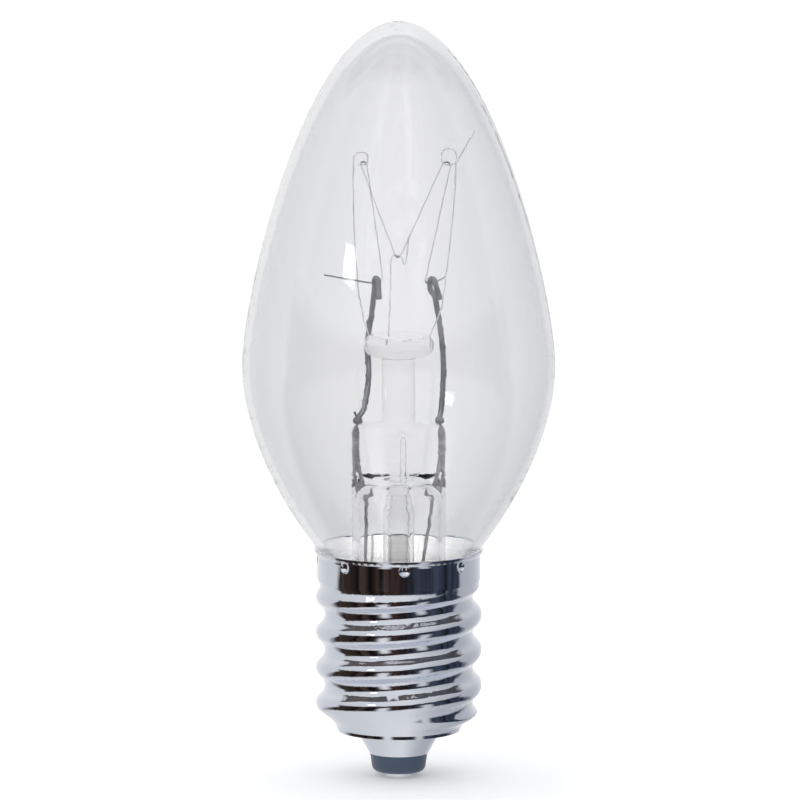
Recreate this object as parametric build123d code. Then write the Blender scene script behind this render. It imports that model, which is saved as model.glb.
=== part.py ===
from build123d import *
import math
import os

# A clear night-light bulb: a blown glass bulb, a glass stem that carries the wires and the
# coiled filament, and a small screw cap rolled from sheet metal.
# The origin is the middle of the contact's flat end. The axis of the bulb is +Z, and the side
# that faces the viewer is -Y. All sizes are in millimetres.

# Screw cap
rim_height = 16.3               # contact's end to the cap's rim
collar_height = 2.1             # plain band under the rim
collar_dia = 11.6
rim_flare = 0.2                 # how far the rim is belled out, each side
rim_flare_height = 0.5
shell_wall = 0.25
thread_crest_dia = 11.8
thread_depth = 0.62
thread_pitch = 2.54
thread_crest_height = 8.45      # a crest at the front of the cap
thread_run_in = 1.2             # length over which the thread fades into the collar
thread_run_out = 1.2            # length over which it fades into the shoulder
shoulder_height = 3.55          # lower end of the rolled wall
shoulder_dia = 8.9
wall_step = 0.1                 # collar and floor stand off a little from the rolled wall
nose_top_dia = 6.1
nose_tip_dia = 4.2
nose_tip_height = 1.65
dent_count = 8
dent_width = 0.84
dent_depth = 0.2
dent_wall = 0.15
dent_below_rim = 0.65
dent_turn = 4.0                 # the front dent stands a little to the right, in degrees

# Insulator and centre contact
insulator_height = 5.0
insulator_clearance = 0.15
insulator_tip_inset = 0.06
insulator_draft = 0.12
insulator_edge = 0.5
insulator_base = 0.3            # height of its flat underside
eyelet_head_dia = 1.8
eyelet_head_base = 0.1
eyelet_bore = 0.6
eyelet_wall = 0.15
eyelet_height = 5.6
solder_flat_dia = 1.1
solder_pad_dia = 1.4
solder_fill_height = 1.6

# Glass bulb
bulb_dia = 22.2                 # widest ring
glass_above_rim = 37.7          # cap's rim to the tip
belly_above_rim = 13.2          # cap's rim to the widest ring
tip_handle = 6.5                # roundness of the tip
flank_handle = 5.0              # how long the side stays upright above the widest ring
belly_handle = 4.5              # and below it
seat_clearance = 0.03           # glass to the inside of the rim
seat_slope = 0.8                # how fast the glass widens at the rim, radius over height
seat_handle = 4.5
neck_clearance = 0.43           # glass neck to the inside of the cap
neck_top_below_rim = 1.6        # where the straight neck begins
neck_end_below_rim = 4.1        # where it is sealed to the stem
neck_handle = 0.6
glass_wall = 0.55
tip_wall = 0.9                  # the glass is thicker at the tip
cement_clearance = 0.05

# Stem
stem_dia = 6.7
stem_wall = 0.5
flare_height = 2.4
flare_handle = 0.6
flare_clearance = 0.05
brim_thickness = 0.55
press_above_rim = 9.1           # cap's rim to the top of the press
press_length = 3.0              # flat length of the press
press_thickness = 2.6
press_edge = 0.6
pinch_length = 3.1              # from the round tube to the flat press
ceiling_drop = 1.15             # hollow's ceiling below the flat press
ceiling_dia = 2.7
ceiling_handle = 0.4
exhaust_dia = 2.2
exhaust_wall = 0.45
exhaust_length = 11.5
vent_dia = 0.55
vent_below_top = 0.65
vent_aside = 0.3
rod_dia = 2.4
rod_length = 4.75
button_dia = 5.0
button_thickness = 1.55
button_edge = 0.7

# Wires and filament
lead_dia = 0.4
weld_bead_dia = 0.66
weld_tail = 0.8                 # end of a seal wire that stands up past its weld
weld_tail_lean = 16             # in degrees, outward
seal_dia = 0.34
seal_cover = 0.28               # glass outside a seal wire
seal_bend = 0.6                 # how far a seal wire is bent in
seal_drop = 1.25                # its bend below the hollow's ceiling
seal_tail = 0.5                 # straight end of it
outer_lead_dia = 0.24
support_dia = 0.1
support_depth = 0.9             # length of a support in the button
filament_dia = 0.13             # over the coil
wire_clearance = 0.02
clamp_height = 3.9              # top of the folded leads above the button
clamp_leg = 1.45                # length of the folded end
fold_straight = 0.8             # upright length of a lead below its fold
loop_height = 12.1              # lower side of the left loop above the button
loop_width = 0.95
loop_rise = 0.9
hook_height = 5.65              # top of the centre hook above the button
hook_drop = 1.0
hook_tail = 1.4                 # end of the hook above its top
left_tail = 4.4                 # loose end of the filament beside the left lead
right_tail = 1.25
left_tail_rise = 0.9
right_tail_rise = 0.4
side_loop = 1.2                 # how far the side wire swings out under the neck
side_exit_drop = 0.55           # its outlet below the cap's rim
side_solder_below_rim = 0.05
outlet_clearance = 0.08

# Heights and radii that follow
collar_radius = collar_dia / 2
collar_inner = collar_radius - shell_wall
rim_radius = collar_radius + rim_flare
rim_inner = rim_radius - shell_wall
thread_top = rim_height - collar_height
crest_radius = thread_crest_dia / 2
root_radius = crest_radius - thread_depth
thread_arc = (thread_pitch ** 2 / 4 + thread_depth ** 2) / (4 * thread_depth)
shell_bore = min(root_radius, collar_radius - wall_step) - shell_wall
bulb_length = rim_height + glass_above_rim
belly_height = rim_height + belly_above_rim
seat_radius = rim_inner - seat_clearance
neck_outer = shell_bore - neck_clearance
neck_inner = neck_outer - glass_wall
neck_top = rim_height - neck_top_below_rim
neck_end = rim_height - neck_end_below_rim
tube_outer = stem_dia / 2
tube_inner = tube_outer - stem_wall
press_top = rim_height + press_above_rim
press_bottom = press_top - press_length
pinch_bottom = press_bottom - pinch_length
ceiling = press_bottom - ceiling_drop
button_radius = button_dia / 2
button_base = press_top + rod_length
button_top = button_base + button_thickness
seal_reach = tube_outer - seal_cover - seal_dia / 2
seal_outlet = seal_reach - seal_bend
seal_end = ceiling - seal_drop - seal_tail
clamp_top = button_top + clamp_height
loop_low = button_top + loop_height
hook_top = button_top + hook_height
support_foot = button_top - support_depth
dent_step = 360 / dent_count
dent_start = dent_turn - 90
exit_turn = dent_start + 4.5 * dent_step     # side wire's outlet, between two dents at the back
exit_height = rim_height - side_exit_drop
side_solder_radius = side_exit_drop - side_solder_below_rim

on_its_base = (Align.CENTER, Align.CENTER, Align.MIN)
under_its_top = (Align.CENTER, Align.CENTER, Align.MAX)


def turned(*edges):
    """Turns a closed outline of radius and height once round the axis."""
    return revolve(Plane.XZ * make_face(Curve() + list(edges)), Axis.Z)


def bent_wire(dia, points):
    """A round wire along straight runs, joined with arcs as large as the runs allow."""
    places = [Vector(*point) for point in points]
    bends = []
    for before, corner, after in zip(places, places[1:], places[2:]):
        into = corner - before
        out_of = after - corner
        half_turn = math.radians(into.get_angle(out_of)) / 2
        share_of_run = 0.45
        bends.append(share_of_run * min(into.length, out_of.length) / math.tan(half_turn))
    path = FilletPolyline(*places, radius=bends)
    section = Plane(origin=path @ 0, z_dir=path % 0) * Circle(dia / 2)
    return sweep(section, path=path)


def over_button(across, back, height):
    """A place given in button radii to the right and to the back, and as a height."""
    return Vector(across * button_radius, back * button_radius, height)


def save(solid, name):
    """Writes one piece."""
    solid.label = name
    export_step(solid, f"parts/{name}.step")


os.makedirs("parts", exist_ok=True)


# Glass bulb: one blown piece, open at the neck
def glass_outline(inset, tip_inset):
    """Side of the glass from the tip to the straight neck, moved in by the insets."""
    upward = Vector(seat_slope, 1).normalized()
    tip = Vector(0, bulb_length - tip_inset)
    belly = Vector(bulb_dia / 2 - inset, belly_height)
    seat = Vector(seat_radius, rim_height) + Vector(-upward.Y, upward.X) * inset
    neck = Vector(neck_outer - inset, neck_top)
    return [
        Bezier(tip, tip + Vector(tip_handle - inset, 0), belly + Vector(0, flank_handle), belly),
        Bezier(belly, belly - Vector(0, belly_handle), seat + upward * seat_handle, seat),
        Bezier(seat, seat - upward * neck_handle, neck + Vector(0, neck_handle), neck),
    ]


glass_outside = glass_outline(0, 0)
glass_inside = glass_outline(glass_wall, tip_wall)
glass_envelope = turned(
    *glass_outside,
    Line((neck_outer, neck_top), (neck_outer, neck_end)),
    Line((neck_outer, neck_end), (neck_inner, neck_end)),
    Line((neck_inner, neck_end), (neck_inner, neck_top)),
    *glass_inside,
    Line((0, bulb_length - tip_wall), (0, bulb_length)),
)
save(glass_envelope, "glass_envelope")


# Seal wires: in the glass of the press, bent in to come out in the stem's hollow
def seal_wire(side):
    """A seal wire on the left (-1) or right (1)."""
    return bent_wire(seal_dia, [
        (side * seal_reach, 0, press_top),
        (side * seal_reach, 0, press_bottom),
        (side * seal_outlet, 0, seal_end + seal_tail),
        (side * seal_outlet, 0, seal_end),
    ])


seal_wires = {"left": seal_wire(-1), "right": seal_wire(1)}
for side_name, solid in seal_wires.items():
    save(solid, f"{side_name}_seal_wire")

# Stem: a tube flared at its foot and pinched flat on the wires at its top
flare_top = neck_end + flare_height
flare_bend = neck_end + flare_handle
flare_outer = neck_inner - flare_clearance
flare_inner = neck_inner - stem_wall
brim_base = neck_end - brim_thickness
edge_inset = tube_outer - press_edge
edge_base = press_top - press_edge
stem = turned(
    Line((0, press_top), (edge_inset, press_top)),
    RadiusArc((edge_inset, press_top), (tube_outer, edge_base), press_edge),
    Line((tube_outer, edge_base), (tube_outer, flare_top)),
    Bezier(
        (tube_outer, flare_top),
        (tube_outer, flare_bend),
        (flare_outer, flare_bend),
        (flare_outer, neck_end),
    ),
    Line((flare_outer, neck_end), (neck_outer, neck_end)),
    Line((neck_outer, neck_end), (neck_outer, brim_base)),
    Line((neck_outer, brim_base), (flare_inner, brim_base)),
    Bezier(
        (flare_inner, brim_base),
        (flare_inner, flare_bend),
        (tube_inner, flare_bend),
        (tube_inner, flare_top),
    ),
    Line((tube_inner, flare_top), (tube_inner, pinch_bottom)),
    Bezier(
        (tube_inner, pinch_bottom),
        (tube_inner, (pinch_bottom + ceiling) / 2),
        (tube_inner - ceiling_handle, ceiling),
        (ceiling_dia / 2, ceiling),
    ),
    Line((ceiling_dia / 2, ceiling), (0, ceiling)),
    Line((0, ceiling), (0, press_top)),
)
press_face = press_thickness / 2
face_inset = press_face - press_edge
jaw_middle = (pinch_bottom + press_bottom) / 2
jaw_top = press_top + press_length
jaw_outline = Curve() + [
    Bezier(
        (tube_outer, pinch_bottom),
        (tube_outer, jaw_middle),
        (press_face, jaw_middle),
        (press_face, press_bottom),
    ),
    Line((press_face, press_bottom), (press_face, edge_base)),
    RadiusArc((press_face, edge_base), (face_inset, press_top), -press_edge),
    Line((face_inset, press_top), (face_inset, jaw_top)),
    Line((face_inset, jaw_top), (stem_dia, jaw_top)),
    Line((stem_dia, jaw_top), (stem_dia, pinch_bottom)),
    Line((stem_dia, pinch_bottom), (tube_outer, pinch_bottom)),
]
jaw = extrude(Plane.YZ * make_face(jaw_outline), stem_dia, both=True)
stem -= [jaw, mirror(jaw, Plane.XZ)]
vent_length = press_top - vent_below_top - ceiling
vent_way = Pos(vent_aside, 0, ceiling) * Cylinder(vent_dia / 2, vent_length, align=on_its_base)
vent_mouth = Pos(vent_aside, 0, ceiling + vent_length) * Rot(90, 0, 0) * Cylinder(
    vent_dia / 2, press_thickness, align=on_its_base
)
stem -= [vent_way, vent_mouth]
stem -= list(seal_wires.values())
save(stem, "stem")

# Exhaust tube: sealed to the stem's ceiling and drawn shut at its lower end
exhaust_outer = exhaust_dia / 2
exhaust_bore = exhaust_outer - exhaust_wall
exhaust_end = ceiling - exhaust_length
drawn_top = exhaust_end + exhaust_dia
drawn_low = exhaust_end + exhaust_outer
bore_drawn_top = drawn_top + exhaust_dia
exhaust_tube = turned(
    Line((exhaust_bore, ceiling), (exhaust_outer, ceiling)),
    Line((exhaust_outer, ceiling), (exhaust_outer, drawn_top)),
    Bezier(
        (exhaust_outer, drawn_top),
        (exhaust_outer, drawn_low),
        (exhaust_outer / 2, exhaust_end),
        (0, exhaust_end),
    ),
    Line((0, exhaust_end), (0, drawn_low)),
    Bezier(
        (0, drawn_low),
        (exhaust_bore / 2, drawn_low),
        (exhaust_bore, drawn_top),
        (exhaust_bore, bore_drawn_top),
    ),
    Line((exhaust_bore, bore_drawn_top), (exhaust_bore, ceiling)),
)
save(exhaust_tube, "exhaust_tube")

# Leads above the press: welded to the seal wires, folded over on the filament at the top
fold_spread = lead_dia + filament_dia + 2 * wire_clearance
grip_turn = math.radians(33.8)
along_grip = Vector(math.cos(grip_turn), math.sin(grip_turn), 0)
across_grip = Vector(math.sin(grip_turn), -math.cos(grip_turn), 0)
left_fold = over_button(-0.7, 0.34, clamp_top)
right_fold = over_button(0.88, 0.24, clamp_top)


def inner_lead(side, bends, fold, splay):
    """A lead from its weld at the press to its fold, with the end bent back down and splayed."""
    foot = Vector(side * seal_reach, 0, press_top)
    weld_top = foot + Vector(0, 0, weld_bead_dia / 2)
    back = fold + across_grip * fold_spread
    end = back + over_button(splay, 0, -clamp_leg)
    wire = bent_wire(lead_dia, [foot, weld_top, *bends, fold - Vector(0, 0, fold_straight), fold, back, end])
    bead = Pos(*foot) * Pos(0, 0, weld_bead_dia / 4) * Sphere(weld_bead_dia / 2)
    tail_place = Pos(*foot) * Rot(0, side * weld_tail_lean, 0)
    tail = tail_place * Cylinder(seal_dia / 4, weld_tail, align=on_its_base)
    in_the_glass = Pos(*foot) * Box(weld_bead_dia, weld_bead_dia, weld_bead_dia, align=under_its_top)
    return wire + bead + tail - in_the_glass


left_inner_lead = inner_lead(-1, [
    over_button(-0.98, 0.12, press_top + 0.18 * rod_length),
    over_button(-0.84, 0.44, press_top + 0.7 * rod_length),
    over_button(-0.92, 0.72, button_base + 0.26 * button_thickness),
    over_button(-0.85, 0.66, button_top + 0.03 * clamp_height),
    over_button(-0.74, 0.46, button_top + 0.44 * clamp_height),
], left_fold, 0.01)
right_inner_lead = inner_lead(1, [
    over_button(1.21, 0.04, press_top + 0.19 * rod_length),
    over_button(1.28, 0.16, press_top + 0.7 * rod_length),
    over_button(1.26, 0.24, button_base + 0.2 * button_thickness),
    over_button(1.15, 0.26, button_top + 0.25 * clamp_height),
    over_button(1.02, 0.24, button_top + 0.69 * clamp_height),
], right_fold, 0.17)
save(left_inner_lead, "left_inner_lead")
save(right_inner_lead, "right_inner_lead")

# Support wires: molybdenum, set in the button, with a loop or a hook for the filament
half_loop = loop_width / 2
loop_top = loop_low + loop_rise
left_loop = over_button(-1.06, 0, loop_low)
right_loop = over_button(1.4, -0.04, loop_low)
left_support = bent_wire(support_dia, [
    over_button(-0.76, 0.08, support_foot),
    over_button(-0.9, 0.1, button_top + 0.02 * loop_height),
    over_button(-1.1, 0.15, button_top + 0.18 * loop_height),
    over_button(-1.24, 0.1, button_top + 0.5 * loop_height),
    over_button(-1.3, 0, button_top + 0.96 * loop_height),
    left_loop + Vector(-half_loop, 0, loop_rise),
    left_loop + Vector(half_loop, 0, loop_rise),
    left_loop + Vector(half_loop, 0, 0),
    left_loop + Vector(-half_loop / 2, 0, 0),
])
right_support = bent_wire(support_dia, [
    over_button(0.76, -0.08, support_foot),
    over_button(0.92, -0.11, button_top + 0.02 * loop_height),
    over_button(1.2, -0.12, button_top + 0.14 * loop_height),
    over_button(1.44, -0.08, button_top + 0.5 * loop_height),
    over_button(1.6, 0, button_top + 0.9 * loop_height),
    over_button(1.63, 0, loop_top + loop_rise / 4),
    over_button(1.21, 0, loop_top + loop_rise / 4),
    right_loop - Vector(half_loop, 0, 0),
    right_loop + Vector(half_loop, 0, 0),
    over_button(2.12, -0.12, button_top + 1.2 * loop_height),
])
centre_support = bent_wire(support_dia, [
    over_button(-0.29, 0, support_foot),
    over_button(-0.27, 0, button_top + 0.17 * hook_height),
    over_button(-0.22, 0.01, button_top + 0.9 * hook_height),
    over_button(-0.2, 0, hook_top),
    over_button(0.08, 0, hook_top),
    over_button(0.17, -0.02, hook_top - hook_drop),
    over_button(0.29, -0.04, hook_top + hook_tail),
])
supports = {"left": left_support, "right": right_support, "centre": centre_support}
for side_name, solid in supports.items():
    save(solid, f"{side_name}_support")

# Button rod: a glass cane with a button pressed at its top, set on the press
rod_radius = rod_dia / 2
button_flat = button_radius - button_edge
button_low = button_base + button_edge
button_high = button_top - button_edge
button_rod = turned(
    Line((0, press_top), (rod_radius, press_top)),
    Line((rod_radius, press_top), (rod_radius, button_base)),
    Line((rod_radius, button_base), (button_flat, button_base)),
    RadiusArc((button_flat, button_base), (button_radius, button_low), -button_edge),
    Line((button_radius, button_low), (button_radius, button_high)),
    RadiusArc((button_radius, button_high), (button_flat, button_top), -button_edge),
    Line((button_flat, button_top), (0, button_top)),
    Line((0, button_top), (0, press_top)),
)
button_rod -= list(supports.values())
save(button_rod, "button_rod")

# Filament: one coiled wire, clamped at both ends, over the two loops and under the hook
grip_drop = Vector(0, 0, (lead_dia + filament_dia) / 2 + wire_clearance)
left_grip = left_fold + across_grip * (fold_spread / 2) - grip_drop
right_grip = right_fold + across_grip * (fold_spread / 2) - grip_drop
wire_pass = (support_dia + filament_dia) / 2 + 3 * wire_clearance
saddle = Vector(0, 4 / 3 * wire_pass, 0)
over_left = left_loop + Vector(0, 0, wire_pass)
over_right = right_loop + Vector(0, 0, wire_pass)
hook_pass = hook_top - wire_pass
filament = bent_wire(filament_dia, [
    left_grip - along_grip * left_tail + Vector(0, 0, left_tail_rise),
    left_grip - along_grip * (0.8 * fold_spread),
    left_grip + along_grip * fold_spread,
    over_left + saddle + Vector(0.75 * half_loop, 0, 0),
    over_left - saddle - Vector(0.25 * half_loop, 0, 0),
    over_button(-0.09, 0, hook_pass) - saddle,
    over_button(0.05, 0, hook_pass) + saddle,
    over_right + saddle - Vector(0.7 * half_loop, 0, 0),
    over_right - saddle + Vector(0.4 * half_loop, 0, 0),
    right_grip - along_grip * (1.2 * fold_spread),
    right_grip + along_grip * (0.7 * fold_spread),
    right_grip + along_grip * right_tail + Vector(0, 0, right_tail_rise),
])
save(filament, "filament")

# Leads below the press: one runs up beside the neck to the cap's rim, one down to the contact
gap_radius = (neck_outer + shell_bore) / 2


def at_exit(radius, height):
    """A place at the angle of the side wire's outlet."""
    return Vector(radius, 0, height).rotate(Axis.Z, exit_turn)


half_wire = outer_lead_dia / 2
side_lead = bent_wire(outer_lead_dia, [
    (-seal_outlet, 0, seal_end),
    (-seal_outlet, 0, seal_end - seal_tail),
    (-seal_outlet - half_wire, half_wire, flare_top),
    (-seal_outlet + half_wire, stem_wall, brim_base - half_wire),
    at_exit(gap_radius - side_loop, brim_base - side_loop),
    at_exit(gap_radius, brim_base - side_loop / 2),
    at_exit(gap_radius, neck_top - half_wire),
    at_exit(collar_inner - outer_lead_dia, exit_height - half_wire),
    at_exit(collar_radius + shell_wall, exit_height),
])
contact_lead = bent_wire(outer_lead_dia, [
    (seal_outlet, 0, seal_end),
    (seal_outlet, 0, seal_end - seal_tail),
    (exhaust_outer + 2 * outer_lead_dia, 0, neck_top),
    (exhaust_outer + outer_lead_dia, 0, exhaust_end),
    (0, 0, eyelet_height + 1.5 * eyelet_bore),
    (0, 0, eyelet_head_base + eyelet_bore / 2),
])
save(side_lead, "side_lead")
save(contact_lead, "contact_lead")


# Screw shell: one drawn cup of sheet metal with a round thread rolled into its wall
def rolled_thread(turns, inset):
    """Radius of the round thread, made of equal arcs at crest and root, moved in by the inset."""
    along = abs(turns - round(turns)) * thread_pitch
    crest_arc = thread_arc - inset
    root_arc = thread_arc + inset
    change = crest_arc * thread_pitch / 4 / thread_arc
    if along < change:
        return crest_radius - thread_arc + math.sqrt(crest_arc ** 2 - along ** 2)
    return root_radius + thread_arc - math.sqrt(root_arc ** 2 - (thread_pitch / 2 - along) ** 2)


def fade(share):
    """Runs smoothly from 0 to 1."""
    held = min(max(share, 0), 1)
    return held * held * (3 - 2 * held)


def wall_radius(height, angle, inset):
    """Radius of the rolled wall, whose thread fades out at both ends."""
    turns = (height - thread_crest_height) / thread_pitch - (angle + 90) / 360
    threaded = rolled_thread(turns, inset)
    upper_end = collar_radius - wall_step - inset
    lower_end = shoulder_dia / 2 - inset
    faded = upper_end + (threaded - upper_end) * fade((thread_top - height) / thread_run_in)
    return lower_end + (faded - lower_end) * fade((height - shoulder_height) / thread_run_out)


section_points = 36
sections_per_pitch = 12


def wall_section(height, inset):
    """Closed level section through the cap's wall."""
    places = []
    for step in range(section_points):
        angle = 360 * step / section_points
        radius = wall_radius(height, angle, inset)
        places.append(Vector(radius, 0, height).rotate(Axis.Z, angle))
    shares = [step / section_points for step in range(section_points + 1)]
    return Wire([Edge.make_spline(places, periodic=True, parameters=shares)])


wall_height = thread_top - shoulder_height
section_count = math.ceil(wall_height / thread_pitch * sections_per_pitch)
levels = [shoulder_height + wall_height * step / section_count for step in range(section_count + 1)]
below_wall = [shoulder_height - 2 * shell_wall, shoulder_height - shell_wall]
above_wall = [thread_top + shell_wall, thread_top + 2 * shell_wall]
hollow_levels = below_wall + levels + above_wall
wall_body = Solid.make_loft([wall_section(height, 0) for height in levels])
wall_hollow = Solid.make_loft([wall_section(height, shell_wall) for height in hollow_levels])
rolled_wall = wall_body - wall_hollow

floor_base = shoulder_height - shell_wall
nose_slope = (nose_top_dia - nose_tip_dia) / 2 / (floor_base - nose_tip_height)
nose_inset = shell_wall * math.sqrt(1 + nose_slope ** 2)
nose_top_inner = nose_top_dia / 2 + nose_slope * shell_wall - nose_inset
nose_tip_inner = nose_tip_dia / 2 - nose_inset
floor_edge = shoulder_dia / 2 - wall_step
nose = turned(*Polyline(
    (floor_edge, shoulder_height),
    (floor_edge, floor_base),
    (nose_top_dia / 2, floor_base),
    (nose_tip_dia / 2, nose_tip_height),
    (nose_tip_inner, nose_tip_height),
    (nose_top_inner, shoulder_height),
    close=True,
).edges())

# Collar: belled at the rim, with punched dents that grip the cement, and an outlet for the side wire
bell_base = rim_height - rim_flare_height
bell_bend = rim_height - rim_flare_height / 2
collar = turned(
    Line((collar_inner, thread_top), (collar_radius, thread_top)),
    Line((collar_radius, thread_top), (collar_radius, bell_base)),
    Bezier(
        (collar_radius, bell_base),
        (collar_radius, bell_bend),
        (rim_radius, bell_bend),
        (rim_radius, rim_height),
    ),
    Line((rim_radius, rim_height), (rim_inner, rim_height)),
    Bezier(
        (rim_inner, rim_height),
        (rim_inner, bell_bend),
        (collar_inner, bell_bend),
        (collar_inner, bell_base),
    ),
    Line((collar_inner, bell_base), (collar_inner, thread_top)),
)
dent_radius = ((dent_width / 2) ** 2 + dent_depth ** 2) / (2 * dent_depth)
dent_height = rim_height - dent_below_rim
inside_wall = Pos(0, 0, dent_height) * Cylinder(collar_radius - shell_wall / 2, collar_height)
punch_place = Pos(collar_radius + dent_radius - dent_depth, 0, dent_height)
for step in range(dent_count):
    place = Rot(0, 0, dent_start + dent_step * step) * punch_place
    collar += place * Sphere(dent_radius + dent_wall) & inside_wall
    collar -= place * Sphere(dent_radius)
outlet_width = outer_lead_dia + 2 * outlet_clearance
outlet_place = Rot(0, 0, exit_turn) * Pos(collar_radius, 0, exit_height - outlet_width)
collar -= outlet_place * Box(4 * shell_wall, outlet_width, collar_height, align=on_its_base)
screw_shell = rolled_wall + collar + nose
save(screw_shell, "screw_shell")

# Basing cement: baked between the glass neck and the collar, up to the rim
cement_base = thread_top + cement_clearance
cement_height = collar_height - 2 * cement_clearance
collar_space = turned(
    Line((0, thread_top), (collar_inner, thread_top)),
    Line((collar_inner, thread_top), (collar_inner, bell_base)),
    Bezier(
        (collar_inner, bell_base),
        (collar_inner, bell_bend),
        (rim_inner, bell_bend),
        (rim_inner, rim_height),
    ),
    Line((rim_inner, rim_height), (0, rim_height)),
    Line((0, rim_height), (0, thread_top)),
)
cement_ring = collar_space & Pos(0, 0, cement_base) * Cylinder(rim_inner, cement_height, align=on_its_base)
glass_fill = turned(
    *glass_outside,
    Line((neck_outer, neck_top), (neck_outer, neck_end)),
    Line((neck_outer, neck_end), (0, neck_end)),
    Line((0, neck_end), (0, bulb_length)),
)
basing_cement = cement_ring - [glass_fill, side_lead, screw_shell]
save(basing_cement, "basing_cement")

# Insulator: dark glass run into the nose, which holds the contact away from the shell
barrel_radius = eyelet_bore / 2 + eyelet_wall
insulator_rim = shoulder_dia / 2 - shell_wall - insulator_clearance
tip_top = nose_tip_dia / 2 - insulator_tip_inset
tip_side = tip_top - insulator_draft
tip_flat = tip_side - insulator_edge
tip_low = insulator_base + insulator_edge
insulator = turned(
    Line((barrel_radius, insulator_height), (insulator_rim, insulator_height)),
    Line((insulator_rim, insulator_height), (insulator_rim, shoulder_height)),
    Line((insulator_rim, shoulder_height), (nose_top_inner, shoulder_height)),
    Line((nose_top_inner, shoulder_height), (nose_tip_inner, nose_tip_height)),
    Line((nose_tip_inner, nose_tip_height), (tip_top, nose_tip_height)),
    Line((tip_top, nose_tip_height), (tip_side, tip_low)),
    RadiusArc((tip_side, tip_low), (tip_flat, insulator_base), insulator_edge),
    Line((tip_flat, insulator_base), (barrel_radius, insulator_base)),
    Line((barrel_radius, insulator_base), (barrel_radius, insulator_height)),
)
save(insulator, "insulator")

# Contact eyelet: a headed tube through the insulator
contact_eyelet = turned(*Polyline(
    (eyelet_bore / 2, eyelet_head_base),
    (eyelet_head_dia / 2, eyelet_head_base),
    (eyelet_head_dia / 2, insulator_base),
    (barrel_radius, insulator_base),
    (barrel_radius, eyelet_height),
    (eyelet_bore / 2, eyelet_height),
    close=True,
).edges())
save(contact_eyelet, "contact_eyelet")

# Solder: a flat-ended drop that closes the eyelet, and a spot where the side wire meets the collar
tip_solder = turned(*Polyline(
    (0, 0),
    (solder_flat_dia / 2, 0),
    (solder_pad_dia / 2, eyelet_head_base),
    (eyelet_bore / 2, eyelet_head_base),
    (eyelet_bore / 2, solder_fill_height),
    (0, solder_fill_height),
    close=True,
).edges()) - contact_lead
save(tip_solder, "tip_solder")
solder_ball = Pos(*at_exit(collar_radius, exit_height)) * Sphere(side_solder_radius)
inside_collar = Pos(0, 0, exit_height) * Cylinder(collar_radius, 2 * collar_height)
side_solder = solder_ball - [inside_collar, screw_shell, side_lead]
save(side_solder, "side_solder")
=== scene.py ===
import math

import bmesh
import bpy
from mathutils import Matrix, Vector


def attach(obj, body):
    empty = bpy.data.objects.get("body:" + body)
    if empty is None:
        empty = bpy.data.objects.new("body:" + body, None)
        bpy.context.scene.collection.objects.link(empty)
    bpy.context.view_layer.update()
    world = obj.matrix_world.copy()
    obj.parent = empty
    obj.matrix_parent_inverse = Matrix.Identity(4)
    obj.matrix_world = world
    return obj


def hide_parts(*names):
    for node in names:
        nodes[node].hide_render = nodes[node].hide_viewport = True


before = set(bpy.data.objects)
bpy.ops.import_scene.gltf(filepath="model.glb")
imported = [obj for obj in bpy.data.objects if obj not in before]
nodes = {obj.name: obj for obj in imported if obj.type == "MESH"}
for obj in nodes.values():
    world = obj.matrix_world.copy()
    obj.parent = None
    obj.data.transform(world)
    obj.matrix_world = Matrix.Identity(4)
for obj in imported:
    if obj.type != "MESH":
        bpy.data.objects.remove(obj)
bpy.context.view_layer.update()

# Stem: the glass tube that carries everything inside the bulb, with the button rod melted on, so that
# the two are one glass. It is flared at the foot, where it is sealed to the neck, and pinched flat
# round the wires in gas flames, which round every edge. The exhaust tube hangs under it.
MM = 0.001
weld_mm = 0.0005
melt_mm = 0.11
melt_passes = 22


def linear(hex_colour):
    """Linear colour of an sRGB hex value."""
    channels = [int(hex_colour[place:place + 2], 16) / 255 for place in (1, 3, 5)]
    return [c / 12.92 if c <= 0.04045 else ((c + 0.055) / 1.055) ** 2.4 for c in channels] + [1]


def add_node(tree, kind, inputs, **settings):
    """Adds a node, sets its options, and links or sets its inputs."""
    node = tree.nodes.new(kind)
    for option, value in settings.items():
        setattr(node, option, value)
    for socket, value in inputs.items():
        if isinstance(value, bpy.types.NodeSocket):
            tree.links.new(value, node.inputs[socket])
        else:
            node.inputs[socket].default_value = value
    return node


def new_material(name):
    """An empty node material and its output."""
    material = bpy.data.materials.new(name)
    material.use_nodes = True
    material.node_tree.nodes.clear()
    return material, material.node_tree, material.node_tree.nodes.new("ShaderNodeOutputMaterial")


def linked(name, data):
    """A new object in the scene."""
    thing = bpy.data.objects.new(name, data)
    bpy.context.scene.collection.objects.link(thing)
    return thing


def finished(shape, name):
    """The mesh of a shape that is done."""
    mesh = bpy.data.meshes.new(name)
    shape.to_mesh(mesh)
    shape.free()
    return mesh


def applied(blank):
    """The mesh that an object's modifiers give. The object itself goes."""
    mesh = bpy.data.meshes.new_from_object(blank.evaluated_get(bpy.context.evaluated_depsgraph_get()))
    bpy.data.objects.remove(blank)
    return mesh


def add_piece(name, mesh, material, *replaced):
    """Puts a mesh on the body as a piece, in the place of CAD nodes."""
    mesh.materials.clear()
    mesh.materials.append(material)
    piece = linked(name, mesh)
    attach(piece, "root")
    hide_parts(*replaced)
    return piece


def wear(node_name, material):
    """Gives a CAD node its finish."""
    nodes[node_name].data.materials.clear()
    nodes[node_name].data.materials.append(material)


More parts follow.
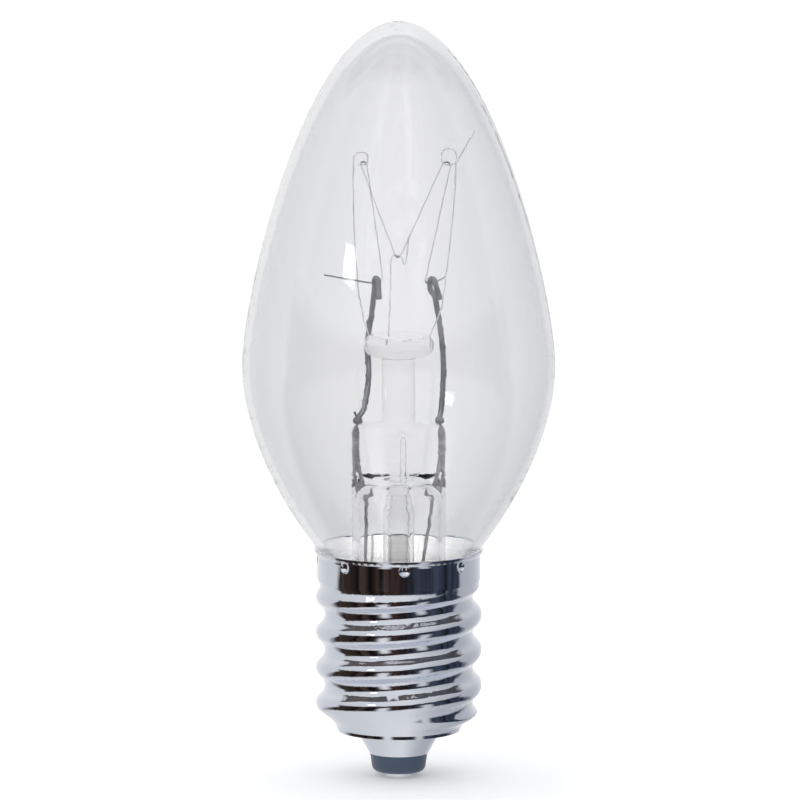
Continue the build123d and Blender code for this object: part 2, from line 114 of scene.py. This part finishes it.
def clear_glass(name, index, cloud_mm, tints, wave_mm, wave_stretch, wave_strength):
    """Clear glass with a faint cloudy tint, which deepens where the eye looks along the wall."""
    wave_height_mm = 0.05
    cloud_share = 0.12
    untinted_until = 0.05
    material, tree, output = new_material(name)
    place = add_node(tree, "ShaderNodeTexCoord", {})
    stretched = add_node(tree, "ShaderNodeMapping", {
        "Vector": place.outputs["Object"], "Scale": (1, 1, 1 / wave_stretch),
    })
    waves = add_node(tree, "ShaderNodeTexNoise", {
        "Vector": stretched.outputs["Vector"], "Scale": 1 / (wave_mm * MM), "Detail": 1.0,
    })
    skin = add_node(tree, "ShaderNodeBump", {
        "Height": waves.outputs["Fac"], "Strength": wave_strength, "Distance": wave_height_mm * MM,
    })
    clouds = add_node(tree, "ShaderNodeTexNoise", {
        "Vector": place.outputs["Object"], "Scale": 1 / (cloud_mm * MM), "Detail": 3.0,
    })
    facing = add_node(tree, "ShaderNodeLayerWeight", {"Blend": 0.5})
    depth = add_node(tree, "ShaderNodeMath", {
        0: clouds.outputs["Fac"], 1: cloud_share, 2: facing.outputs["Facing"],
    }, operation="MULTIPLY_ADD")
    tint = add_node(tree, "ShaderNodeValToRGB", {"Fac": depth.outputs["Value"]})
    tint.color_ramp.elements[0].position = untinted_until
    tint.color_ramp.elements[0].color = linear(tints[0])
    tint.color_ramp.elements[1].color = linear(tints[1])
    glass = add_node(tree, "ShaderNodeBsdfPrincipled", {
        "Base Color": tint.outputs["Color"], "Normal": skin.outputs["Normal"],
        "Roughness": 0.0, "IOR": index, "Transmission Weight": 1.0,
    })
    tree.links.new(glass.outputs["BSDF"], output.inputs["Surface"])
    return material


# Lead glass: clear and fire-polished, with faint draw lines that run up the tube. Its real index is about
# 1.55, but it is set lower, because the photo hardly shows this glass. Glass casts no shadow here, so
# that the lamps reach what is inside.
lead_glass = clear_glass(
    "drawn_lead_glass", index=1.24, cloud_mm=0.6, tints=("#ffffff", "#f4f4f4"),
    wave_mm=0.5, wave_stretch=12, wave_strength=0.05,
)
# The seal wires are taken in too, so that the glass closes over their holes.
shape = bmesh.new()
for name in ("stem", "button_rod", "left_seal_wire", "right_seal_wire"):
    shape.from_mesh(nodes[name].data)
bmesh.ops.remove_doubles(shape, verts=shape.verts, dist=weld_mm * MM)
blank = linked("stem_blank", finished(shape, "fused_stem"))
melt = blank.modifiers.new("melt", "REMESH")
melt.mode = "VOXEL"
melt.voxel_size = melt_mm * MM
melt.use_smooth_shade = True
flow = blank.modifiers.new("flow", "SMOOTH")
flow.factor = 0.5
flow.iterations = melt_passes
fused_stem = add_piece("fused_stem", applied(blank), lead_glass, "stem", "button_rod")
fused_stem.visible_shadow = False
wear("exhaust_tube", lead_glass)
nodes["exhaust_tube"].visible_shadow = False

# Seal wires: copper-clad nickel-iron, which swells with heat as the glass does, so that the seal holds.
# Through the glass they look grey and dull. They lie a little inside the skin of the melted glass.
seal_gap_mm = 0.05


def mottled(tree, patch_mm, dark, light, detail, dark_until=0.0, light_from=1.0):
    """Soft patches between two colours. Gives the patches and their colour."""
    place = add_node(tree, "ShaderNodeTexCoord", {})
    patches = add_node(tree, "ShaderNodeTexNoise", {
        "Vector": place.outputs["Object"], "Scale": 1 / (patch_mm * MM), "Detail": detail,
    })
    colour = add_node(tree, "ShaderNodeValToRGB", {"Fac": patches.outputs["Fac"]})
    colour.color_ramp.elements[0].position = dark_until
    colour.color_ramp.elements[0].color = linear(dark)
    colour.color_ramp.elements[1].position = light_from
    colour.color_ramp.elements[1].color = linear(light)
    return patches.outputs["Fac"], colour.outputs["Color"]


def wire_metal(name, dark, light, metallic, patch_mm):
    """Drawn wire whose grey changes in soft patches along its length."""
    material, tree, output = new_material(name)
    grey = mottled(tree, patch_mm, dark, light, detail=3.0, dark_until=0.3, light_from=0.7)[1]
    metal = add_node(tree, "ShaderNodeBsdfPrincipled", {
        "Base Color": grey, "Metallic": metallic, "Roughness": 0.42,
    })
    tree.links.new(metal.outputs["BSDF"], output.inputs["Surface"])
    return material


def thinned(node_name, by_mm):
    """A copy of a wire that lies well inside the glass round it."""
    mesh = nodes[node_name].data.copy()
    shape = bmesh.new()
    shape.from_mesh(mesh)
    bmesh.ops.remove_doubles(shape, verts=shape.verts, dist=weld_mm * MM)
    bmesh.ops.recalc_face_normals(shape, faces=shape.faces)
    shape.normal_update()
    for vertex in shape.verts:
        vertex.co -= vertex.normal * by_mm * MM
    shape.to_mesh(mesh)
    shape.free()
    return mesh


copper_clad = wire_metal("oxidised_copper_clad_wire", "#757278", "#9b989c", metallic=0.4, patch_mm=0.3)
for name in ("left_seal_wire", "right_seal_wire"):
    add_piece(name + "_drawn", thinned(name, seal_gap_mm), copper_clad, name)

# Inner leads: nickel wire, butt-welded to the seal wires, which leaves a bead, and folded over on the
# filament at the top. Drawn nickel is a grey that a little oxide dulls.
nickel = wire_metal("drawn_nickel_wire", "#5e5f64", "#848589", metallic=0.5, patch_mm=0.9)
for name in ("left_inner_lead", "right_inner_lead"):
    wear(name, nickel)

# Supports: molybdenum wire, pale and thin, pushed into the hot button, with its ends turned to loops
# and a hook that hold the filament up.
molybdenum = wire_metal("drawn_molybdenum_wire", "#a9aaaf", "#cfd0d4", metallic=0.35, patch_mm=0.9)
for name in ("left_support", "right_support", "centre_support"):
    wear(name, molybdenum)

# Filament: tungsten wire wound on a mandrel to a fine coil, clamped in the folds of the leads and laid
# over the two loops and under the hook. The route is that of the CAD wire, in millimetres.
coil_mm = 0.13
coil_wire_mm = 0.042
coil_pitch_mm = 0.058
steps_per_turn = 10
wire_sides = 5
left_clamp = [(-5.25, -1.85, 36.2), (-1.95, 0.35, 35.3), (-1.1, 0.95, 35.3)]
left_loop = [(-2.3, 0.25, 44.0), (-2.75, -0.25, 44.0)]
middle_hook = [(-0.2, -0.25, 37.2), (0.1, 0.25, 37.2)]
right_loop = [(3.15, 0.15, 44.0), (3.7, -0.35, 44.0)]
right_clamp = [(1.8, 0.0, 35.3), (2.7, 0.6, 35.3), (3.4, 1.05, 35.7)]
held = [Vector(place) for place in left_clamp + left_loop + middle_hook + right_loop + right_clamp]
long_run_mm = 3.0
straight_from_mm = 6 * coil_mm
route = []
for before, after in zip(held, held[1:]):
    route.append(before)
    run = after - before
    if run.length > long_run_mm:
        route += [before + run.normalized() * straight_from_mm, after - run.normalized() * straight_from_mm]
route.append(held[-1])
curve = bpy.data.curves.new("filament_route", "CURVE")
curve.dimensions = "3D"
line = curve.splines.new("NURBS")
line.points.add(len(route) - 1)
for point, place in zip(line.points, route):
    point.co = (*(place * MM), 1)
line.order_u = 3
line.use_endpoint_u = True
line.resolution_u = 16
guide = linked("filament_route", curve)
shape = bmesh.new()
section = bmesh.ops.create_circle(shape, segments=wire_sides, radius=coil_wire_mm / 2 * MM)
bmesh.ops.translate(shape, verts=section["verts"], vec=(0, (coil_mm - coil_wire_mm) / 2 * MM, 0))
bmesh.ops.rotate(shape, verts=section["verts"], matrix=Matrix.Rotation(math.pi / 2, 3, "Y"))
bmesh.ops.spin(
    shape, geom=shape.verts[:] + shape.edges[:], cent=(0, 0, 0), axis=(1, 0, 0), angle=2 * math.pi,
    dvec=(coil_pitch_mm / steps_per_turn * MM, 0, 0), steps=steps_per_turn,
)
coil = linked("straight_coil", finished(shape, "one_turn"))
turns = coil.modifiers.new("turns", "ARRAY")
turns.count = int(line.calc_length() / (coil_pitch_mm * MM))
turns.use_relative_offset = False
turns.use_constant_offset = True
turns.constant_offset_displace = (coil_pitch_mm * MM, 0, 0)
turns.use_merge_vertices = True
turns.merge_threshold = weld_mm * MM
bend = coil.modifiers.new("bend", "CURVE")
bend.object = guide
mesh = applied(coil)
bpy.data.objects.remove(guide)
shape = bmesh.new()
shape.from_mesh(mesh)
bmesh.ops.holes_fill(shape, edges=[edge for edge in shape.edges if edge.is_boundary])
bmesh.ops.recalc_face_normals(shape, faces=shape.faces)
shape.to_mesh(mesh)
shape.free()
tungsten = wire_metal("coiled_tungsten", "#58595e", "#7b7c81", metallic=0.6, patch_mm=0.9)
add_piece("filament_coil", mesh, tungsten, "filament")

# Outer leads: tinned copper, one to the cap's rim and one to the contact.
# The tin is dull from the heat of the seal.
tinned = wire_metal("tinned_copper_wire", "#6e6d72", "#98979a", metallic=0.5, patch_mm=0.9)
for name in ("side_lead", "contact_lead"):
    wear(name, tinned)

# Bulb: soda-lime glass blown in a mould, thin and clear, closed smoothly at the tip.
# Its side is a little darker where the eye looks along the wall.
wear("glass_envelope", clear_glass(
    "blown_soda_lime_glass", index=1.52, cloud_mm=0.5, tints=("#f7f7f8", "#d8dade"),
    wave_mm=9.0, wave_stretch=1, wave_strength=0.25,
))
nodes["glass_envelope"].visible_shadow = False

# Screw shell: thin brass sheet drawn to a cup, with the round thread rolled in, then plated with
# bright nickel, which mirrors its surroundings with a faint lilac cast.
haze_mm = 2.5
ripple_mm = 1.5
ripple_height_mm = 0.05
plated, tree, output = new_material("bright_nickel_plate")
haze, cast = mottled(tree, haze_mm, "#c6cad4", "#d6d9e0", detail=4.0)
dulled = add_node(tree, "ShaderNodeMapRange", {"Value": haze, "To Min": 0.05, "To Max": 0.11})
place = add_node(tree, "ShaderNodeTexCoord", {})
ripple = add_node(tree, "ShaderNodeTexNoise", {
    "Vector": place.outputs["Object"], "Scale": 1 / (ripple_mm * MM), "Detail": 1.0,
})
rolled = add_node(tree, "ShaderNodeBump", {
    "Height": ripple.outputs["Fac"], "Strength": 0.08, "Distance": ripple_height_mm * MM,
})
metal = add_node(tree, "ShaderNodeBsdfPrincipled", {
    "Base Color": cast, "Normal": rolled.outputs["Normal"],
    "Metallic": 1.0, "Roughness": dulled.outputs["Result"],
})
tree.links.new(metal.outputs["BSDF"], output.inputs["Surface"])
wear("screw_shell", plated)

# Insulator: dark glass poured into the nose, which keeps the contact apart from the shell.
# It is slate blue, faintly clouded, with a satin skin.
cloud_mm = 1.2
insulating, tree, output = new_material("dark_insulating_glass")
clouds, slate = mottled(tree, cloud_mm, "#334055", "#435268", detail=3.0)
skin = add_node(tree, "ShaderNodeMapRange", {"Value": clouds, "To Min": 0.35, "To Max": 0.5})
body = add_node(tree, "ShaderNodeBsdfPrincipled", {
    "Base Color": slate, "Roughness": skin.outputs["Result"], "IOR": 1.5,
})
tree.links.new(body.outputs["BSDF"], output.inputs["Surface"])
wear("insulator", insulating)

# Contact: a nickel-plated brass eyelet closed by a drop of solder, and the spot of solder that joins
# the side lead to the collar. The solder has set with a frosty grain.
grain_mm = 0.15
grain_height_mm = 0.02
wear("contact_eyelet", plated)
solder, tree, output = new_material("tin_lead_solder")
grains, grey = mottled(tree, grain_mm, "#9a9ca0", "#c3c5c9", detail=3.0)
frosty = add_node(tree, "ShaderNodeBump", {
    "Height": grains, "Strength": 0.3, "Distance": grain_height_mm * MM,
})
metal = add_node(tree, "ShaderNodeBsdfPrincipled", {
    "Base Color": grey, "Normal": frosty.outputs["Normal"], "Metallic": 1.0, "Roughness": 0.32,
})
tree.links.new(metal.outputs["BSDF"], output.inputs["Surface"])
for name in ("tip_solder", "side_solder"):
    wear(name, solder)

# Basing cement: a filled resin paste, baked hard between the neck and the collar.
# It is chalky and nearly white.
grit_mm = 0.2
grit_height_mm = 0.05
cement, tree, output = new_material("baked_basing_cement")
grit, chalk = mottled(tree, grit_mm, "#f1efeb", "#fbfaf8", detail=4.0)
gritty = add_node(tree, "ShaderNodeBump", {
    "Height": grit, "Strength": 0.2, "Distance": grit_height_mm * MM,
})
body = add_node(tree, "ShaderNodeBsdfPrincipled", {
    "Base Color": chalk, "Normal": gritty.outputs["Normal"], "Roughness": 0.9,
})
tree.links.new(body.outputs["BSDF"], output.inputs["Surface"])
wear("basing_cement", cement)

# Floor: a white card that the bulb stands on and that keeps its soft shadow, and that is plain white
# through glass. To a first mirror image the card shows a painted reflection instead: bright behind and
# close round the bulb, and a painted dim room in front, but for two painted tongues of light.
floor_radius = 3.0
close_mm = (12, 16)
behind_mm = (0, 10)
tongue_reach_mm = (20, 90)
tongue_turns = (-109, -54)
tongue_edge = (math.radians(2), math.radians(12))
card_glow = 0.2
white_through_glass = 1.03


def first_image(tree, path):
    """Whether a ray shows the first mirror image in metal or glass, and not an image of an image."""
    return add_node(tree, "ShaderNodeMath", {
        0: path.outputs["Glossy Depth"], 1: 1.0, 2: 0.5,
    }, operation="COMPARE").outputs["Value"]


def painted_dim_room(tree, direction):
    """A painted image of a room out of the light: brown on the left, dark red in the middle, slate blue on
    the right.
    """
    corner = 0.9
    red_at = 0.5
    grey_at = 0.62
    upright_share = 0.15
    things_across = 7.0
    things_lit = (0.38, 0.68)
    axes = add_node(tree, "ShaderNodeSeparateXYZ", {"Vector": direction})
    across = add_node(tree, "ShaderNodeMapRange", {
        "Value": axes.outputs["X"], "From Min": -corner, "From Max": corner,
    })
    side = add_node(tree, "ShaderNodeValToRGB", {"Fac": across.outputs["Result"]})
    side.color_ramp.elements[0].color = linear("#55483f")
    side.color_ramp.elements[1].color = linear("#4d586c")
    side.color_ramp.elements.new(red_at).color = linear("#5a403c")
    side.color_ramp.elements.new(grey_at).color = linear("#3a3d47")
    upright = add_node(tree, "ShaderNodeMapping", {"Vector": direction, "Scale": (1, 1, upright_share)})
    things = add_node(tree, "ShaderNodeTexNoise", {
        "Vector": upright.outputs["Vector"], "Scale": things_across, "Detail": 4.0,
    })
    lit = add_node(tree, "ShaderNodeMapRange", {
        "Value": things.outputs["Fac"], "From Min": things_lit[0], "From Max": things_lit[1],
    })
    return add_node(tree, "ShaderNodeMix", {
        "Factor": lit.outputs["Result"], "A": linear("#141011"), "B": side.outputs["Color"],
    }, data_type="RGBA").outputs["Result"]


def grey_screens(tree, direction):
    """White behind and in front, and greyer to the sides, most of all on the right."""
    white_from = 0.3
    white_to = 0.6
    axes = add_node(tree, "ShaderNodeSeparateXYZ", {"Vector": direction})
    across = add_node(tree, "ShaderNodeMapRange", {
        "Value": axes.outputs["X"], "From Min": -1.0, "From Max": 1.0,
    })
    screens = add_node(tree, "ShaderNodeValToRGB", {"Fac": across.outputs["Result"]})
    screens.color_ramp.elements[0].color = linear("#eeeff1")
    screens.color_ramp.elements[1].color = linear("#c8cacf")
    screens.color_ramp.elements.new(white_from).color = linear("#ffffff")
    screens.color_ramp.elements.new(white_to).color = linear("#ffffff")
    return screens.outputs["Color"]


shape = bmesh.new()
bmesh.ops.create_circle(shape, cap_ends=True, segments=96, radius=floor_radius)
floor = linked("floor", finished(shape, "floor"))
card, tree, output = new_material("white_card")
place = add_node(tree, "ShaderNodeTexCoord", {})
axes = add_node(tree, "ShaderNodeSeparateXYZ", {"Vector": place.outputs["Object"]})
away = add_node(tree, "ShaderNodeVectorMath", {0: place.outputs["Object"]}, operation="LENGTH")
outward = add_node(tree, "ShaderNodeVectorMath", {0: place.outputs["Object"]}, operation="NORMALIZE")
angle = add_node(tree, "ShaderNodeMath", {0: axes.outputs["Y"], 1: axes.outputs["X"]}, operation="ARCTAN2")
close = add_node(tree, "ShaderNodeMapRange", {
    "Value": away.outputs["Value"], "From Min": close_mm[0] * MM, "From Max": close_mm[1] * MM,
    "To Min": 1.0, "To Max": 0.0,
}, interpolation_type="SMOOTHSTEP")
back = add_node(tree, "ShaderNodeMapRange", {
    "Value": axes.outputs["Y"], "From Min": behind_mm[0] * MM, "From Max": behind_mm[1] * MM,
}, interpolation_type="SMOOTHSTEP")
reach = add_node(tree, "ShaderNodeMapRange", {
    "Value": away.outputs["Value"], "From Min": tongue_reach_mm[0] * MM, "From Max": tongue_reach_mm[1] * MM,
    "To Min": 1.0, "To Max": 0.0,
}, interpolation_type="SMOOTHSTEP")
bright = add_node(tree, "ShaderNodeMath", {
    0: close.outputs["Result"], 1: back.outputs["Result"],
}, operation="MAXIMUM")
for turn in tongue_turns:
    beside = add_node(tree, "ShaderNodeMath", {
        0: angle.outputs["Value"], 1: math.radians(turn),
    }, operation="SUBTRACT")
    apart = add_node(tree, "ShaderNodeMath", {0: beside.outputs["Value"]}, operation="ABSOLUTE")
    tongue = add_node(tree, "ShaderNodeMapRange", {
        "Value": apart.outputs["Value"], "From Min": tongue_edge[0], "From Max": tongue_edge[1],
        "To Min": reach.outputs["Result"], "To Max": 0.0,
    }, interpolation_type="SMOOTHSTEP")
    bright = add_node(tree, "ShaderNodeMath", {
        0: bright.outputs["Value"], 1: tongue.outputs["Result"],
    }, operation="MAXIMUM")
# Painted reflection: what first mirror images see on the card, a painted dim room with painted bright
# patches and tongues of light.
painted_reflection_colour = add_node(tree, "ShaderNodeMix", {
    "Factor": bright.outputs["Value"], "A": painted_dim_room(tree, outward.outputs["Vector"]),
    "B": grey_screens(tree, outward.outputs["Vector"]),
}, data_type="RGBA")
painted_reflection = add_node(tree, "ShaderNodeEmission", {"Color": painted_reflection_colour.outputs["Result"]})
paper = add_node(tree, "ShaderNodeBsdfDiffuse", {"Color": linear("#f2f2f2")})
glow = add_node(tree, "ShaderNodeEmission", {"Strength": card_glow})
lit = add_node(tree, "ShaderNodeAddShader", {0: paper.outputs["BSDF"], 1: glow.outputs["Emission"]})
plain = add_node(tree, "ShaderNodeEmission", {"Strength": white_through_glass})
path = add_node(tree, "ShaderNodeLightPath", {})
through_glass = add_node(tree, "ShaderNodeMixShader", {
    0: path.outputs["Is Transmission Ray"], 1: lit.outputs["Shader"], 2: plain.outputs["Emission"],
})
seen = add_node(tree, "ShaderNodeMixShader", {
    0: first_image(tree, path), 1: through_glass.outputs["Shader"], 2: painted_reflection.outputs["Emission"],
})
tree.links.new(seen.outputs["Shader"], output.inputs["Surface"])
floor.data.materials.append(card)

# Light: a white studio, greyer at the sides. First mirror images alone show a dim room in front of the
# bulb and a dark panel overhead with a curved front edge. A narrow spot lights what is inside the glass.
# Each pair below is the start and the end of a soft edge, as a share of a direction of length one.
room_back = (-0.02, 0.12)
room_top = (0.1, 0.2)
panel_front = (-0.5, -0.44)
panel_back = (0.25, 0.4)
panel_ends = (0.5, 0.6)
panel_bend = 0.95
panel_light = 0.1
world = bpy.data.worlds.new("studio")
bpy.context.scene.world = world
world.use_nodes = True
tree = world.node_tree
tree.nodes.clear()
output = tree.nodes.new("ShaderNodeOutputWorld")
place = add_node(tree, "ShaderNodeTexCoord", {})
axes = add_node(tree, "ShaderNodeSeparateXYZ", {"Vector": place.outputs["Generated"]})
behind = add_node(tree, "ShaderNodeMapRange", {
    "Value": axes.outputs["Y"], "From Min": room_back[0], "From Max": room_back[1],
}, interpolation_type="SMOOTHSTEP")
above = add_node(tree, "ShaderNodeMapRange", {
    "Value": axes.outputs["Z"], "From Min": room_top[0], "From Max": room_top[1],
}, interpolation_type="SMOOTHSTEP")
aside = add_node(tree, "ShaderNodeMath", {0: axes.outputs["X"], 1: axes.outputs["X"]}, operation="MULTIPLY")
arch = add_node(tree, "ShaderNodeMath", {
    0: aside.outputs["Value"], 1: -panel_bend, 2: axes.outputs["Y"],
}, operation="MULTIPLY_ADD")
before_panel = add_node(tree, "ShaderNodeMapRange", {
    "Value": arch.outputs["Value"], "From Min": panel_front[0], "From Max": panel_front[1],
    "To Min": 1.0, "To Max": panel_light,
}, interpolation_type="SMOOTHSTEP")
past_panel = add_node(tree, "ShaderNodeMapRange", {
    "Value": axes.outputs["Y"], "From Min": panel_back[0], "From Max": panel_back[1],
}, interpolation_type="SMOOTHSTEP")
under_panel = add_node(tree, "ShaderNodeMapRange", {
    "Value": axes.outputs["Z"], "From Min": panel_ends[0], "From Max": panel_ends[1],
    "To Min": 1.0, "To Max": 0.0,
}, interpolation_type="SMOOTHSTEP")
open_sky = before_panel.outputs["Result"]
for edge in (past_panel, under_panel):
    open_sky = add_node(tree, "ShaderNodeMath", {
        0: open_sky, 1: edge.outputs["Result"],
    }, operation="MAXIMUM").outputs["Value"]
walls = add_node(tree, "ShaderNodeMath", {
    0: behind.outputs["Result"], 1: above.outputs["Result"],
}, operation="MAXIMUM")
bright = add_node(tree, "ShaderNodeMath", {0: walls.outputs["Value"], 1: open_sky}, operation="MULTIPLY")
path = add_node(tree, "ShaderNodeLightPath", {})
dim = add_node(tree, "ShaderNodeMapRange", {
    "Value": bright.outputs["Value"], "To Min": first_image(tree, path), "To Max": 0.0,
})
room = add_node(tree, "ShaderNodeMix", {
    "Factor": dim.outputs["Result"], "A": grey_screens(tree, place.outputs["Generated"]),
    "B": painted_dim_room(tree, place.outputs["Generated"]),
}, data_type="RGBA")
shown = add_node(tree, "ShaderNodeMix", {
    "Factor": path.outputs["Is Camera Ray"], "A": room.outputs["Result"], "B": (1, 1, 1, 1),
}, data_type="RGBA")
sky = add_node(tree, "ShaderNodeBackground", {"Color": shown.outputs["Result"]})
tree.links.new(sky.outputs["Background"], output.inputs["Surface"])


def hang(lamp, watts, place_mm, aim_mm, in_mirrors):
    """Hangs up a lamp that looks at a point."""
    lamp.energy = watts
    light = linked(lamp.name, lamp)
    light.location = Vector(place_mm) * MM
    aim = Vector(aim_mm) * MM - light.location
    light.rotation_euler = aim.to_track_quat("-Z", "Y").to_euler()
    light.visible_camera = False
    light.visible_glossy = in_mirrors


def softbox(name, size_mm):
    """A rectangular studio lamp."""
    lamp = bpy.data.lights.new(name, "AREA")
    lamp.shape = "RECTANGLE"
    lamp.size = size_mm[0] * MM
    lamp.size_y = size_mm[1] * MM
    return lamp


hang(
    softbox("overhead", size_mm=(700, 200)), watts=0.25,
    place_mm=(0, 110, 440), aim_mm=(0, 0, 50), in_mirrors=False,
)
hang(
    softbox("left_window", size_mm=(72, 32)), watts=0.035,
    place_mm=(-263, -286, 165), aim_mm=(-3, -9, 37), in_mirrors=True,
)
front_spot = bpy.data.lights.new("front_spot", "SPOT")
front_spot.spot_size = math.radians(4.6)
front_spot.spot_blend = 0.25
front_spot.shadow_soft_size = 0.0
hang(front_spot, watts=5.5, place_mm=(0, -400, 330), aim_mm=(0, 0, 33), in_mirrors=False)

# Camera: as the photo was taken, a metre in front of the bulb with a long lens, looking down a little.
# The lens is set so that a millimetre at the bulb takes as many pixels as in the photo.
camera_distance = 1000 * MM
camera_pitch = math.radians(9)
camera_aside = 0.09 * MM
aim_height = 26.98 * MM
pixels_per_mm = 14.126
frame_pixels = 800
lens = bpy.data.cameras.new("camera")
lens.sensor_width = 36.0
lens.lens = lens.sensor_width * pixels_per_mm / MM * camera_distance / frame_pixels
camera = linked("camera", lens)
camera.location = (
    camera_aside,
    -camera_distance * math.cos(camera_pitch),
    aim_height + camera_distance * math.sin(camera_pitch),
)
camera.rotation_euler = (math.pi / 2 - camera_pitch, 0, 0)
bpy.context.scene.camera = camera
bpy.context.scene.view_settings.view_transform = "Standard"
